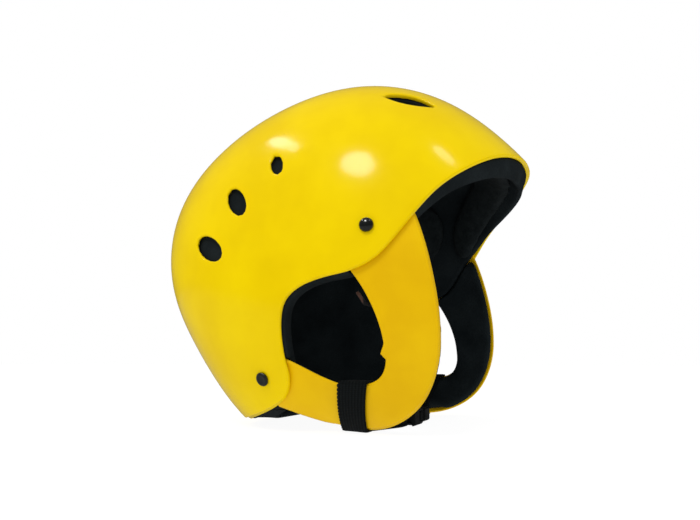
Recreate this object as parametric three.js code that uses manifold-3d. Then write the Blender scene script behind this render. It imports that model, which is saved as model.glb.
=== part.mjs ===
// Water helmet: a full-cut paddling helmet with open-ear guards and a chin strap.
// Millimetres. +Z is up, the face looks along -Y and the wearer's left is +X.
// The parts are modelled about the ear axis, the line through both ear holes, and one group
// lifts them so that the strap loops and the nape of the liner rest on Z = 0.
import * as THREE from 'three';
import { mergeVertices } from 'three/addons/utils/BufferGeometryUtils.js';
import Module from 'manifold-3d';

const wasm = await Module();
wasm.setup();

// ---------- driving dimensions ----------
const EAR_HEIGHT = 73.5;            // ear axis above the table
const EAR_BEHIND_CENTRE = -19.9;    // ear axis in Y, from the middle of the helmet's length
const HALF_WIDTH = 106;             // shell, at the ears
const FULLNESS = 2.33;              // superellipse exponent of every section through the ear axis
const RADIUS_STEP = 20;             // degrees between the side profile's control radii
// control radii about the ear axis, from straight down round the face, the crown and the nape
const SIDE_RADII = [83.5, 106.5, 131, 141, 143.5, 141, 142, 143.5, 153.5, 159, 158, 161, 164, 150,
  124, 113, 109, 101.5];
const FORM_COLUMNS = 32;
const FORM_ROWS = 20;

const FIT_GAP = 0.3;                // between parts that touch
const SHELL_THICKNESS = 3;
const GUARD_THICKNESS = 3;
const LINER_THICKNESS = 11.6;
const GUARD_FOAM_THICKNESS = 9;
const PAD_THICKNESS = 5.5;
const RIM_LIP = 1.3;                // liner foam past the shell's edge
const RIM_STEP = 9;                 // depth where the liner's rim steps down to its inner edge
const FOAM_SEAM = 0.6;              // between the liner's edge and the guard foam
const POCKET_GAP = 0.6;             // between the guard's back and the liner
const REACH = 130;                  // half length of every cutter that goes right through

const ROUND_STEPS = 12;             // facets round a screw, washer or hole
const SCREW = { head: 4.2, shank: 1.9, hole: 3 };
const FRONT_SCREW = [-27.5, 42.7];  // side view, about the ear axis
const REAR_SCREW = [39, -42.7];
// the stack under each screw, as depths below the form's outside, and its pocket in the liner
const STACK = { washerTop: -7.2, washerBottom: -8.2, flangeTop: -8.5, flangeBottom: -9.9,
  pocketRadius: 7.2, pocketDepth: 10.5 };

const WEBBING_WIDTH = 17.5;
const WEBBING_THICKNESS = 1.6;
const LOOP_CLEARANCE = 0.5;
const BAR_TOP = -45.2;              // ear guard's lower bar, under the webbing
const BAR_BOTTOM = -71.4;
const BAR_INNER = 66;               // |X| of the guard foam's inner face, along the bar's bottom
const LOOP_CENTRE = -16.5;          // webbing loop in Y, at the top of the bar
const LOOP_LEAN = -0.26;            // how far the loop leans back as it goes down

const BUCKLE = { x: -7, y: -21, width: 24, height: 11, mouth: 6, length: 26, plugEnd: 24, bevel: 1 };
const BUCKLE_Z = -EAR_HEIGHT + BUCKLE.height / 2;
const END_BAR = { length: 3.4, height: 5 };
const STRAP_SLOT = { length: 5.4, halfWidth: 10.3 };
const STRAP_ANCHOR = 66;            // |X| where the webbing turns towards the buckle
const STRAP_STRAIGHT = 26;          // from the buckle's centre, where it is in line with the buckle

// ---------- helpers ----------
const solids = [];

function solidOf(geometry) {
  const bare = geometry.clone();
  bare.deleteAttribute('normal');
  bare.deleteAttribute('uv');
  const welded = mergeVertices(bare, 1e-4);
  return new wasm.Manifold(new wasm.Mesh({
    numProp: 3,
    vertProperties: Float32Array.from(welded.attributes.position.array),
    triVerts: Uint32Array.from(welded.index.array),
  }));
}

function geometryOf(solid) {
  const mesh = solid.getMesh();
  const geometry = new THREE.BufferGeometry();
  geometry.setAttribute('position', new THREE.BufferAttribute(mesh.vertProperties, 3));
  geometry.setIndex(new THREE.BufferAttribute(mesh.triVerts, 1));
  geometry.computeVertexNormals();
  return geometry;
}

function add(name, geometry, look, place = (mesh) => mesh) {
  const material = new THREE.MeshStandardMaterial(look);
  const mesh = new THREE.Mesh(geometry, material);
  mesh.name = name;
  solids.push(place(mesh));
}

const YELLOW_SHELL = { color: 0xf2d200, roughness: 0.22, metalness: 0 };
const YELLOW_GUARD = { color: 0xe0b800, roughness: 0.38, metalness: 0 };
const BLACK_FOAM = { color: 0x14181a, roughness: 0.9, metalness: 0 };
const BLACK_FABRIC = { color: 0x101315, roughness: 0.95, metalness: 0 };
const BLACK_WEBBING = { color: 0x15191b, roughness: 0.85, metalness: 0 };
const BLACK_PLASTIC = { color: 0x1b2022, roughness: 0.4, metalness: 0 };
const SCREW_BLACK = { color: 0x1a1f21, roughness: 0.25, metalness: 0.6 };
const RUBBER = { color: 0x0e1011, roughness: 0.8, metalness: 0 };
const LABEL_BROWN = { color: 0x6a4a3e, roughness: 0.9, metalness: 0 };

// ---------- the form that every layer follows ----------
// Uniform cubic B-spline of the control radii; 0 degrees is the face, 90 the crown.
function sideRadius(degrees) {
  const count = SIDE_RADII.length;
  const place = (((degrees + 90) % 360) + 360) % 360 / RADIUS_STEP;
  const first = Math.floor(place);
  const t = place - first;
  const weights = [
    (1 - t) ** 3 / 6,
    (3 * t ** 3 - 6 * t ** 2 + 4) / 6,
    (-3 * t ** 3 + 3 * t ** 2 + 3 * t + 1) / 6,
    t ** 3 / 6,
  ];
  return weights.reduce((sum, w, k) => sum + w * SIDE_RADII[(first + k - 1 + count) % count], 0);
}

// A point of the form, moved inwards by inset. turn is the angle about the ear axis in radians;
// spread runs from -90 degrees at the right ear to +90 degrees at the left ear.
function formPoint(turn, spread, inset) {
  const radius = sideRadius(THREE.MathUtils.radToDeg(turn));
  const nearby = 0.01;
  const slope = (sideRadius(THREE.MathUtils.radToDeg(turn + nearby)) - radius) / nearby;
  const power = 2 / FULLNESS;
  const x = HALF_WIDTH * Math.sign(spread) * Math.abs(Math.sin(spread)) ** power;
  const r = radius * Math.max(Math.cos(spread), 0) ** power;
  const outward = new THREE.Vector3(-Math.cos(turn), Math.sin(turn), 0);
  const round = new THREE.Vector3(Math.sin(turn), Math.cos(turn), 0);
  const pull = (r / radius) ** (FULLNESS - 1) / radius;
  const normal = outward.clone().addScaledVector(round, -slope / radius).multiplyScalar(pull);
  normal.z = Math.sign(x) * (Math.abs(x) / HALF_WIDTH) ** (FULLNESS - 1) / HALF_WIDTH;
  normal.normalize();
  return new THREE.Vector3(
    x - normal.z * inset,
    outward.x * r - normal.x * inset,
    outward.y * r - normal.y * inset,
  );
}

function formSolid(inset) {
  const sphere = new THREE.SphereGeometry(1, FORM_COLUMNS, FORM_ROWS);
  const position = sphere.attributes.position;
  for (let i = 0; i < position.count; i += 1) {
    const spread = Math.asin(THREE.MathUtils.clamp(position.getY(i), -1, 1));
    const turn = Math.atan2(position.getX(i), -position.getZ(i));
    position.setXYZ(i, ...formPoint(turn, spread, inset).toArray());
  }
  return solidOf(sphere);
}

const formCache = new Map();
function form(inset) {
  if (!formCache.has(inset)) formCache.set(inset, formSolid(inset));
  return formCache.get(inset);
}

const layer = (outerInset, innerInset) => form(outerInset).subtract(form(innerInset));

// Frame on the form's outside, over a side-view point [y, z]: +Y of the frame points outwards.
function frameOnForm([y, z], side) {
  const turn = Math.atan2(z, -y);
  const share = Math.hypot(y, z) / sideRadius(THREE.MathUtils.radToDeg(turn));
  const spread = side * Math.acos(share ** (FULLNESS / 2));
  const outside = formPoint(turn, spread, 0);
  const axis = outside.clone().sub(formPoint(turn, spread, 1));
  const swing = new THREE.Quaternion().setFromUnitVectors(new THREE.Vector3(0, 1, 0), axis);
  return new THREE.Matrix4().compose(outside, swing, new THREE.Vector3(1, 1, 1));
}

// ---------- outlines ----------
// A smooth line guided by its control points: it touches each leg at the middle.
function softLine(path, points) {
  path.moveTo(...points[0]);
  for (let i = 1; i < points.length - 1; i += 1) {
    const [ax, ay] = points[i];
    const [bx, by] = points[i + 1];
    const last = i === points.length - 2;
    const end = last ? [bx, by] : [(ax + bx) / 2, (ay + by) / 2];
    path.quadraticCurveTo(ax, ay, ...end);
  }
  return path;
}

function softLoop(points) {
  const middle = points[0].map((value, k) => (value + points[1][k]) / 2);
  return softLine(new THREE.Shape(), [middle, ...points.slice(1), points[0], middle]);
}

// Moves each point to the right of its direction of travel.
function shifted(points, distance, closed) {
  const count = points.length;
  return points.map(([u, v], i) => {
    const before = points[closed ? (i + count - 1) % count : Math.max(i - 1, 0)];
    const after = points[closed ? (i + 1) % count : Math.min(i + 1, count - 1)];
    const along = new THREE.Vector2(after[0] - before[0], after[1] - before[1]).normalize();
    return [u + along.y * distance, v - along.x * distance];
  });
}

// Extrudes a side-view shape across the helmet, from x0 to x1.
const ACROSS = new THREE.Matrix4().makeBasis(
  new THREE.Vector3(0, 1, 0), new THREE.Vector3(0, 0, 1), new THREE.Vector3(1, 0, 0));
function sidePrism(shape, x0, x1, curveSegments = 2) {
  const geometry = new THREE.ExtrudeGeometry(shape,
    { depth: x1 - x0, bevelEnabled: false, curveSegments });
  return solidOf(geometry.applyMatrix4(ACROSS).translate(x0, 0, 0));
}

function box(x0, x1, y0, y1, z0, z1) {
  const geometry = new THREE.BoxGeometry(x1 - x0, y1 - y0, z1 - z0);
  return solidOf(geometry.translate((x0 + x1) / 2, (y0 + y1) / 2, (z0 + z1) / 2));
}

// Everything nearer the middle than |X| = x.
const inwardOf = (x) => box(-x, x, -REACH, REACH, -REACH, REACH);

// The shell's lower edge in side view: brow, front tab, ear hole, rear tab and nape.
const BROW_EDGE = [[-150, 107], [-110, 97], [-96, 90.5], [-82, 80], [-66, 66.5], [-55.5, 53],
  [-46, 39.5], [-34, 24.5], [-20, 17.3]];
const EAR_EDGE = [[0, 14], [14, 9], [22.5, 1], [24.5, -12], [23, -30], [20, -41.5], [24.5, -52],
  [35, -58.8]];
const SHELL_NAPE = [[52, -64.8], [74, -70], [88, -71.2], [170, -74]];
const LINER_NAPE = [[52, -67.5], [66, -73.5], [80, -73.5], [170, -73.5]];
const LOWER_EDGE = [...BROW_EDGE, ...EAR_EDGE];
// The liner's outer face stops just past the shell at the brow and short of it at the guards;
// its inner face hangs lower.
const LIP_BROW = [[-150, 105.7], [-110, 95.7], [-96.6, 89.3], [-82.8, 79], [-65.6, 66.9],
  [-52.3, 55.4], [-42.8, 41.9], [-33.4, 25.3], [-20.3, 16]];
const LINER_BROW = [[-150, 97], [-108, 84.5], [-96, 80.5], [-84, 74.5], [-68, 65], [-57, 54],
  [-44.5, 41], [-33.8, 23.6], [-20.6, 15]];

function coveredRegion(edge) {
  const shape = softLine(new THREE.Shape(), edge);
  shape.lineTo(190, 200);
  shape.lineTo(-150, 200);
  shape.closePath();
  return shape;
}

const shellRegion = coveredRegion([...LOWER_EDGE, ...SHELL_NAPE]);
const EAR_RIM = shifted(EAR_EDGE, RIM_LIP, false);
const LINER_EDGE = [...LINER_BROW, ...EAR_RIM];
const lipRegion = coveredRegion([...LIP_BROW, ...EAR_RIM, ...LINER_NAPE]);
const linerRegion = coveredRegion([...LINER_EDGE, ...LINER_NAPE]);
const guardFoamLimit = coveredRegion([...shifted(LINER_EDGE, FOAM_SEAM, false), ...LINER_NAPE]);

// The ear guard in side view: a J from the front tab round the ear to the rear tab.
const GUARD_LINE = [[-45, 62], [-52.5, 50], [-58, 34], [-62, 18], [-65, 1], [-66, -14],
  [-65.5, -28], [-61.5, -43], [-54, -56], [-42, -65.5], [-27, -70.9], [-10, -71.5], [4, -70],
  [18, -65], [32, -59.5], [46, -56.5], [53, -48], [50, -36], [38, -29], [25, -30.5], [13, -36],
  [2, -42], [-8, -45.8], [-18, -46.3], [-28, -45], [-34, -41], [-37, -34], [-36.5, -25],
  [-34.5, -14], [-30, -2], [-23.5, 10], [-15, 21], [-9, 34], [-12, 50], [-24, 62], [-36, 66]];
const EAR_SIDE = [18, 32];          // the guard line's points along the ear hole
const FOAM_STEP = 1.8;              // guard foam's edge, inside the guard's outer edge
const EAR_FOAM_STEP = 0.3;          // and inside its edge along the ear hole
const POCKET_MARGIN = 0.8;          // liner pocket round the guard

// ---------- shell ----------
const SHELL_INNER = SHELL_THICKNESS;
const GUARD_OUTER = SHELL_INNER + FIT_GAP;
const GUARD_INNER = GUARD_OUTER + GUARD_THICKNESS;
const LINER_OUTER = SHELL_INNER + FIT_GAP;
const LINER_INNER = LINER_OUTER + LINER_THICKNESS;
const GUARD_FOAM_OUTER = GUARD_INNER + FIT_GAP;
const GUARD_FOAM_INNER = GUARD_FOAM_OUTER + GUARD_FOAM_THICKNESS;
const PAD_OUTER = LINER_INNER + FIT_GAP;
const PAD_INNER = PAD_OUTER + PAD_THICKNESS;

// Each vent: side-view centre, length, width, and where its long axis points in side view.
const SIDE_VENTS = [
  { at: [34.3, 86.6], length: 16, width: 8.4, lean: [-0.41, -0.91] },
  { at: [60.5, 65], length: 24, width: 12, lean: [-0.62, -0.78] },
  { at: [79, 36.6], length: 27, width: 13.6, lean: [-0.88, -0.47] },
];
const VENT_OVERSHOOT = 4;           // cutter length outside the shell
const VENT_STEP = 1.2;              // liner's hole under the crown vent, inside the shell's all round
const CROWN_VENT = { at: [-41, 130.2], length: 36.5, width: 14.5, lean: [-1, -0.02] };

function ovalShape(length, width) {
  const shape = new THREE.Shape();
  shape.absellipse(0, 0, length / 2, width / 2, 0, 2 * Math.PI);
  return shape;
}

function lensShape(length, width) {
  const shape = new THREE.Shape();
  const tip = length / 2;
  shape.moveTo(-tip, 0);
  shape.quadraticCurveTo(0, -width, tip, 0);
  shape.quadraticCurveTo(0, width, -tip, 0);
  return shape;
}

// A vent's cutter stands on the form with its long axis along lean, seen from the side.
function ventCutter(vent, shape, side, depth) {
  const place = frameOnForm(vent.at, side);
  const outside = new THREE.Vector3().setFromMatrixPosition(place);
  const outward = new THREE.Vector3().setFromMatrixColumn(place, 1);
  const rough = new THREE.Vector3(0, ...vent.lean);
  const long = rough.addScaledVector(outward, -rough.dot(outward)).normalize();
  const short = new THREE.Vector3().crossVectors(outward, long);
  const geometry = new THREE.ExtrudeGeometry(shape, { depth, bevelEnabled: false, curveSegments: 6 });
  geometry.translate(0, 0, VENT_OVERSHOOT - depth);
  const basis = new THREE.Matrix4().makeBasis(long, short, outward).setPosition(outside);
  return solidOf(geometry.applyMatrix4(basis));
}

function roundCutter(at, side, radius, from, to) {
  const geometry = new THREE.CylinderGeometry(radius, radius, to - from, ROUND_STEPS);
  geometry.translate(0, (from + to) / 2, 0);
  return solidOf(geometry.applyMatrix4(frameOnForm(at, side)));
}

let shell = layer(0, SHELL_INNER).intersect(sidePrism(shellRegion, -REACH, REACH));
const pastShell = layer(0, RIM_STEP).subtract(sidePrism(lipRegion, -REACH, REACH));
let liner = layer(LINER_OUTER, LINER_INNER).intersect(sidePrism(linerRegion, -REACH, REACH))
  .subtract(pastShell);
for (const side of [-1, 1]) {
  for (const vent of [...SIDE_VENTS, CROWN_VENT]) {
    const shape = vent === CROWN_VENT ? lensShape : ovalShape;
    shell = shell.subtract(ventCutter(vent, shape(vent.length, vent.width), side, 10));
  }
  const linerHole = lensShape(CROWN_VENT.length - 2 * VENT_STEP, CROWN_VENT.width - 2 * VENT_STEP);
  liner = liner.subtract(ventCutter(CROWN_VENT, linerHole, side, LINER_INNER + 8));
  for (const at of [FRONT_SCREW, REAR_SCREW]) {
    shell = shell.subtract(roundCutter(at, side, SCREW.hole, -8, 4));
    liner = liner.subtract(roundCutter(at, side, STACK.pocketRadius, -STACK.pocketDepth, 0));
  }
}
const guardPocket = layer(0, GUARD_INNER + POCKET_GAP)
  .intersect(sidePrism(softLoop(shifted(GUARD_LINE, POCKET_MARGIN, true)), -REACH, REACH));
liner = liner.subtract(guardPocket);
add('outer_shell', geometryOf(shell), YELLOW_SHELL);
add('foam_liner', geometryOf(liner), BLACK_FOAM);

// ---------- ear guards with their foam ----------
const SIDES = [['right', -1], ['left', 1]];
const guardFoamLayer = layer(GUARD_FOAM_OUTER, GUARD_FOAM_INNER)
  .subtract(sidePrism(guardFoamLimit, -REACH, REACH))
  .subtract(inwardOf(BAR_INNER));
for (const [sideName, side] of SIDES) {
  const near = Math.min(0, side * REACH);
  const far = Math.max(0, side * REACH);
  let guard = layer(GUARD_OUTER, GUARD_INNER).subtract(inwardOf(BAR_INNER))
    .intersect(sidePrism(softLoop(GUARD_LINE), near, far));
  for (const at of [FRONT_SCREW, REAR_SCREW]) {
    guard = guard.subtract(roundCutter(at, side, SCREW.hole, -10, 2));
  }
  add(`ear_guard_${sideName}`, geometryOf(guard), YELLOW_GUARD);
  const earSide = shifted(GUARD_LINE, -EAR_FOAM_STEP, true);
  const foamLine = softLoop(shifted(GUARD_LINE, -FOAM_STEP, true)
    .map((point, i) => (i >= EAR_SIDE[0] && i <= EAR_SIDE[1] ? earSide[i] : point)));
  add(`ear_guard_foam_${sideName}`,
    geometryOf(guardFoamLayer.intersect(sidePrism(foamLine, near, far))), BLACK_FOAM);
}

// ---------- comfort pads ----------
// The bands and the side pad are side-view outlines; the crown oval is seen from above.
const BROW_BAND = [[-120, 99], [-100, 89.5], [-84, 83], [-70, 72.5], [-58, 59], [-49, 45], [-38, 50],
  [-38, 78], [-86, 126], [-120, 125]];
const CROWN_OVAL = { centre: 28, halfWidth: 44, halfLength: 52, from: 60 };
const NAPE_BAND = [[100, 46], [150, 50], [150, -30], [92, -34], [80, 0]];
const NAPE_HALF_WIDTH = 56;
const SIDE_PAD_LINE = [[-32, 60], [-30, 86], [0, 96], [38, 84], [46, 50], [30, 26], [-6, 30]];

function slab(shape, height, z0) {
  const geometry = new THREE.ExtrudeGeometry(shape,
    { depth: height, bevelEnabled: false, curveSegments: 6 });
  return solidOf(geometry.translate(0, 0, z0));
}

const padLayer = layer(PAD_OUTER, PAD_INNER);
const browPad = padLayer.intersect(sidePrism(softLoop(BROW_BAND), -REACH, REACH));
add('brow_pad', geometryOf(browPad), BLACK_FABRIC);

const { centre, halfWidth, halfLength, from } = CROWN_OVAL;
const crownOval = new THREE.Shape().absellipse(0, centre, halfWidth, halfLength, 0, 2 * Math.PI);
add('crown_pad', geometryOf(padLayer.intersect(slab(crownOval, REACH, from))), BLACK_FABRIC);

const napePad = padLayer.intersect(sidePrism(softLoop(NAPE_BAND), -NAPE_HALF_WIDTH, NAPE_HALF_WIDTH));
add('nape_pad', geometryOf(napePad), BLACK_FABRIC);

const sidePadLine = softLoop(SIDE_PAD_LINE);
for (const [sideName, side] of SIDES) {
  const pad = padLayer.intersect(sidePrism(sidePadLine, Math.min(0, side * REACH),
    Math.max(0, side * REACH)));
  add(`side_pad_${sideName}`, geometryOf(pad), BLACK_FABRIC);
}

// ---------- screws, washers and post nuts ----------
function lathe(points, segments) {
  return new THREE.LatheGeometry(points.map(([r, h]) => new THREE.Vector2(r, h)), segments);
}

function screwProfile(headHeight) {
  const base = 0.4;
  const wall = base + 0.5;
  const dome = [];
  for (let step = 1; step < 3; step += 1) {
    const angle = step * Math.PI / 6;
    dome.push([SCREW.head * Math.cos(angle), wall + (headHeight - 0.5) * Math.sin(angle)]);
  }
  return [[0, -8.6], [SCREW.shank, -8.6], [SCREW.shank, base], [SCREW.head, base],
    [SCREW.head, wall], ...dome, [0, base + headHeight]];
}

const postProfile = [[0, STACK.flangeBottom], [6, STACK.flangeBottom], [6, STACK.flangeTop],
  [2.7, STACK.flangeTop], [2.7, -0.3], [2.2, -0.3], [2.2, -9], [0, -9]];
const washerProfile = [[3.1, STACK.washerBottom], [6.4, STACK.washerBottom],
  [6.4, STACK.washerTop], [3.1, STACK.washerTop], [3.1, STACK.washerBottom]];

for (const [sideName, side] of SIDES) {
  const stacks = [['front', FRONT_SCREW, 3], ['rear', REAR_SCREW, 2]];
  for (const [end, at, headHeight] of stacks) {
    const stand = (mesh) => {
      mesh.applyMatrix4(frameOnForm(at, side));
      return mesh;
    };
    add(`${end}_screw_${sideName}`, lathe(screwProfile(headHeight), ROUND_STEPS), SCREW_BLACK, stand);
    add(`${end}_washer_${sideName}`, lathe(washerProfile, ROUND_STEPS), RUBBER, stand);
    add(`${end}_post_nut_${sideName}`, lathe(postProfile, ROUND_STEPS), SCREW_BLACK, stand);
  }
}

// ---------- chin strap ----------
// Loop of webbing round each guard's lower bar.
function loopQuad(top, bottom, halfWidth) {
  const lean = (z) => LOOP_CENTRE + LOOP_LEAN * (z - BAR_TOP);
  return new THREE.Shape([
    new THREE.Vector2(lean(bottom) - halfWidth, bottom),
    new THREE.Vector2(lean(bottom) + halfWidth, bottom),
    new THREE.Vector2(lean(top) + halfWidth, top),
    new THREE.Vector2(lean(top) - halfWidth, top)]);
}

const loopHole = { top: BAR_TOP + LOOP_CLEARANCE, bottom: BAR_BOTTOM - LOOP_CLEARANCE };
const loopOuter = loopQuad(loopHole.top + WEBBING_THICKNESS, -EAR_HEIGHT, WEBBING_WIDTH / 2);
const loopInner = loopQuad(loopHole.top, loopHole.bottom, WEBBING_WIDTH);
const holeInsets = [GUARD_OUTER - LOOP_CLEARANCE, GUARD_FOAM_INNER + LOOP_CLEARANCE];
const webInsets = [holeInsets[0] - WEBBING_THICKNESS, holeInsets[1] + WEBBING_THICKNESS];
const LOOP_INNER = BAR_INNER - LOOP_CLEARANCE - WEBBING_THICKNESS;
for (const [sideName, side] of SIDES) {
  const near = Math.min(0, side * REACH);
  const far = Math.max(0, side * REACH);
  const hole = layer(...holeInsets).intersect(sidePrism(loopInner, near, far))
    .subtract(inwardOf(BAR_INNER - LOOP_CLEARANCE));
  const loop = layer(...webInsets).intersect(sidePrism(loopOuter, near, far))
    .subtract(inwardOf(LOOP_INNER)).subtract(hole);
  add(`strap_loop_${sideName}`, geometryOf(loop), BLACK_WEBBING);
}

// Webbing seen from the front, as a thick line of [x, z] points.
function thickLine(points, thickness) {
  const right = shifted(points, thickness / 2, false);
  const left = shifted(points, -thickness / 2, false).reverse();
  return new THREE.Shape([...right, ...left].map(([x, z]) => new THREE.Vector2(x, z)));
}

function roundedRect(shape, halfWidth, halfHeight, radius) {
  shape.moveTo(halfWidth, -halfHeight + radius);
  shape.lineTo(halfWidth, halfHeight - radius);
  shape.absarc(halfWidth - radius, halfHeight - radius, radius, 0, Math.PI / 2);
  shape.lineTo(-halfWidth + radius, halfHeight);
  shape.absarc(-halfWidth + radius, halfHeight - radius, radius, Math.PI / 2, Math.PI);
  shape.lineTo(-halfWidth, -halfHeight + radius);
  shape.absarc(-halfWidth + radius, -halfHeight + radius, radius, Math.PI, 1.5 * Math.PI);
  shape.lineTo(halfWidth - radius, -halfHeight);
  shape.absarc(halfWidth - radius, -halfHeight + radius, radius, 1.5 * Math.PI, 2 * Math.PI);
  shape.closePath();
  return shape;
}

// Extrudes a front-view shape by the webbing's width, centred on the buckle's line.
const FRONT_VIEW = new THREE.Matrix4().makeBasis(
  new THREE.Vector3(1, 0, 0), new THREE.Vector3(0, 0, 1), new THREE.Vector3(0, -1, 0));
function webbing(shape, width = WEBBING_WIDTH) {
  const geometry = new THREE.ExtrudeGeometry(shape,
    { depth: width, bevelEnabled: false, curveSegments: 2 });
  return solidOf(geometry.applyMatrix4(FRONT_VIEW).translate(0, BUCKLE.y + width / 2, 0));
}

const loopFoot = LOOP_CENTRE + LOOP_LEAN * (-EAR_HEIGHT - BAR_TOP);
const fromBuckle = (x, side) => x - side * BUCKLE.x;   // |X| as a distance from the buckle's centre
const strapSlant = (side) =>
  (loopFoot - BUCKLE.y) / (fromBuckle(STRAP_ANCHOR, side) - STRAP_STRAIGHT);

// Slants a run of webbing from the buckle's line to the middle of the strap loop.
function slanted(solid, side) {
  const geometry = geometryOf(solid);
  const position = geometry.attributes.position;
  for (let i = 0; i < position.count; i += 1) {
    const past = Math.max(0, Math.abs(position.getX(i)) - STRAP_STRAIGHT);
    position.setY(i, position.getY(i) + strapSlant(side) * past);
  }
  return solidOf(geometry).translate([BUCKLE.x, 0, 0]);
}

// A run as distances from the buckle's centre: from the ring round its end bar to the guard's loop.
function strapRun(side, barX, points) {
  const halfLength = END_BAR.length / 2 + 0.4;
  const halfHeight = END_BAR.height / 2 + 0.4;
  const ring = roundedRect(new THREE.Shape(), halfLength + WEBBING_THICKNESS - 0.1,
    halfHeight + WEBBING_THICKNESS - 0.1, 2);
  ring.holes.push(roundedRect(new THREE.Path(), halfLength, halfHeight, 0.8));
  const ringSolid = webbing(ring).translate([BUCKLE.x + barX, 0, BUCKLE_Z]);
  const line = points.map(([x, z]) => [side * x, z]);
  const shape = thickLine(side > 0 ? line : line.reverse(), WEBBING_THICKNESS);
  const run = slanted(webbing(shape), side);
  return ringSolid.add(run);
}

// heights of the webbing's middle: lying on the table, and lifted by the keeper
const TABLE_LINE = -EAR_HEIGHT + WEBBING_THICKNESS / 2 + 0.1;
const RAISED_LINE = TABLE_LINE + 2.3;
const RUN_END = LOOP_INNER - FIT_GAP;
const socketBarX = BUCKLE.mouth - BUCKLE.length + END_BAR.length / 2;
const plugBarX = BUCKLE.plugEnd - END_BAR.length / 2;
add('strap_run_right', geometryOf(strapRun(-1, socketBarX,
  [[-socketBarX + 2.6, BUCKLE_Z - 2.4], [26, -71.6], [32, TABLE_LINE], [40, TABLE_LINE],
    [50, TABLE_LINE], [fromBuckle(RUN_END, -1), TABLE_LINE]])), BLACK_WEBBING);
add('strap_run_left', geometryOf(strapRun(1, plugBarX,
  [[plugBarX + 2.6, BUCKLE_Z - 2.2], [29, RAISED_LINE], [38, RAISED_LINE], [51, RAISED_LINE],
    [56, TABLE_LINE], [fromBuckle(RUN_END, 1), TABLE_LINE]])), BLACK_WEBBING);

// Free end of the webbing, lying back along the left run.
const TAIL_LINE = RAISED_LINE + WEBBING_THICKNESS + FIT_GAP;
const tailShape = thickLine([[27.4, TAIL_LINE + 0.6], [32, TAIL_LINE], [51, TAIL_LINE],
  [57, TAIL_LINE + 1]], WEBBING_THICKNESS);
add('strap_tail', geometryOf(slanted(webbing(tailShape), 1)), BLACK_WEBBING);

// Moulded keeper round the left run and the tail.
const KEEPER = { x: 42, length: 6, wall: 1.3 };
const keeperTilt = Math.atan(strapSlant(1));
const keeperHalf = WEBBING_WIDTH / 2 * Math.cos(keeperTilt) + 0.7;
const keeperHalfHeight = WEBBING_THICKNESS + FIT_GAP / 2 + 0.4;
const keeperShape = roundedRect(new THREE.Shape(), keeperHalf + KEEPER.wall,
  keeperHalfHeight + KEEPER.wall, 1.2);
keeperShape.holes.push(roundedRect(new THREE.Path(), keeperHalf, keeperHalfHeight, 0.4));
const keeper = new THREE.ExtrudeGeometry(keeperShape,
  { depth: KEEPER.length, bevelEnabled: false, curveSegments: 3 });
keeper.applyMatrix4(ACROSS).translate(-KEEPER.length / 2, 0, 0);
add('strap_keeper', keeper, BLACK_PLASTIC, (mesh) => {
  mesh.rotation.z = keeperTilt;
  mesh.position.set(BUCKLE.x + KEEPER.x,
    BUCKLE.y + strapSlant(1) * (KEEPER.x - STRAP_STRAIGHT),
    (RAISED_LINE + TAIL_LINE) / 2);
  return mesh;
});

// ---------- side-release buckle ----------
// A plate in plan with rounded corners and bevelled edges, from x0 to x1.
function buckleBlock(x0, x1, height) {
  const half = (x1 - x0) / 2 - BUCKLE.bevel;
  const plan = roundedRect(new THREE.Shape(), half, BUCKLE.width / 2 - BUCKLE.bevel, 2.5);
  const geometry = new THREE.ExtrudeGeometry(plan, {
    depth: height - 2 * BUCKLE.bevel, bevelThickness: BUCKLE.bevel, bevelSize: BUCKLE.bevel,
    bevelSegments: 1, curveSegments: 4 });
  geometry.translate((x0 + x1) / 2, 0, -height / 2 + BUCKLE.bevel);
  return solidOf(geometry);
}

// Cuts the slot behind an end bar and thins the bar; outer is the bar's outer face.
function withStrapSlot(block, outer, inwards) {
  const bar = outer + inwards * END_BAR.length;
  const slotEnd = bar + inwards * STRAP_SLOT.length;
  const wide = STRAP_SLOT.halfWidth;
  const span = [bar, slotEnd].sort((a, b) => a - b);
  const barSpan = [outer - inwards, bar + inwards * 0.1].sort((a, b) => a - b);
  return block
    .subtract(box(...span, -wide, wide, -20, 20))
    .subtract(box(...barSpan, -wide, wide, END_BAR.height / 2, 20))
    .subtract(box(...barSpan, -wide, wide, -20, -END_BAR.height / 2));
}

const CAVITY = { depth: 15.5, halfWidth: 10.2, halfHeight: 3.3 };
const WINDOW = [-6.5, 2];
const socketEnd = BUCKLE.mouth - BUCKLE.length;
const socket = withStrapSlot(buckleBlock(socketEnd, BUCKLE.mouth, BUCKLE.height), socketEnd, 1)
  .subtract(box(BUCKLE.mouth - CAVITY.depth, 20, -CAVITY.halfWidth, CAVITY.halfWidth,
    -CAVITY.halfHeight, CAVITY.halfHeight))
  .subtract(box(...WINDOW, -20, 20, -CAVITY.halfHeight, CAVITY.halfHeight));

const PLUG = { face: 6.4, height: 9, tongueTip: -8, tongueHalf: 2.5 };
const plug = withStrapSlot(buckleBlock(PLUG.face, BUCKLE.plugEnd, PLUG.height),
  BUCKLE.plugEnd, -1)
  .add(box(PLUG.tongueTip, PLUG.face + 2, -PLUG.tongueHalf, PLUG.tongueHalf, -2.6, 2.6));

// Release arm in plan, pointing to -X from its root, with the button on its outer side.
const ARM = { root: 5.9, tip: -7.2, inner: 6.2, outer: 9.4, button: 12.6, halfHeight: 2.9 };
function armShape() {
  const shape = new THREE.Shape();
  shape.moveTo(ARM.root, ARM.inner + 0.6);
  shape.lineTo(ARM.root, ARM.outer - 0.4);
  shape.lineTo(1, ARM.outer);
  shape.quadraticCurveTo(0.6, ARM.button, -2, ARM.button);
  shape.quadraticCurveTo(-5.2, ARM.button, -5.4, ARM.outer);
  shape.lineTo(ARM.tip, ARM.outer - 0.8);
  shape.lineTo(ARM.tip, ARM.inner);
  shape.closePath();
  return shape;
}

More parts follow.
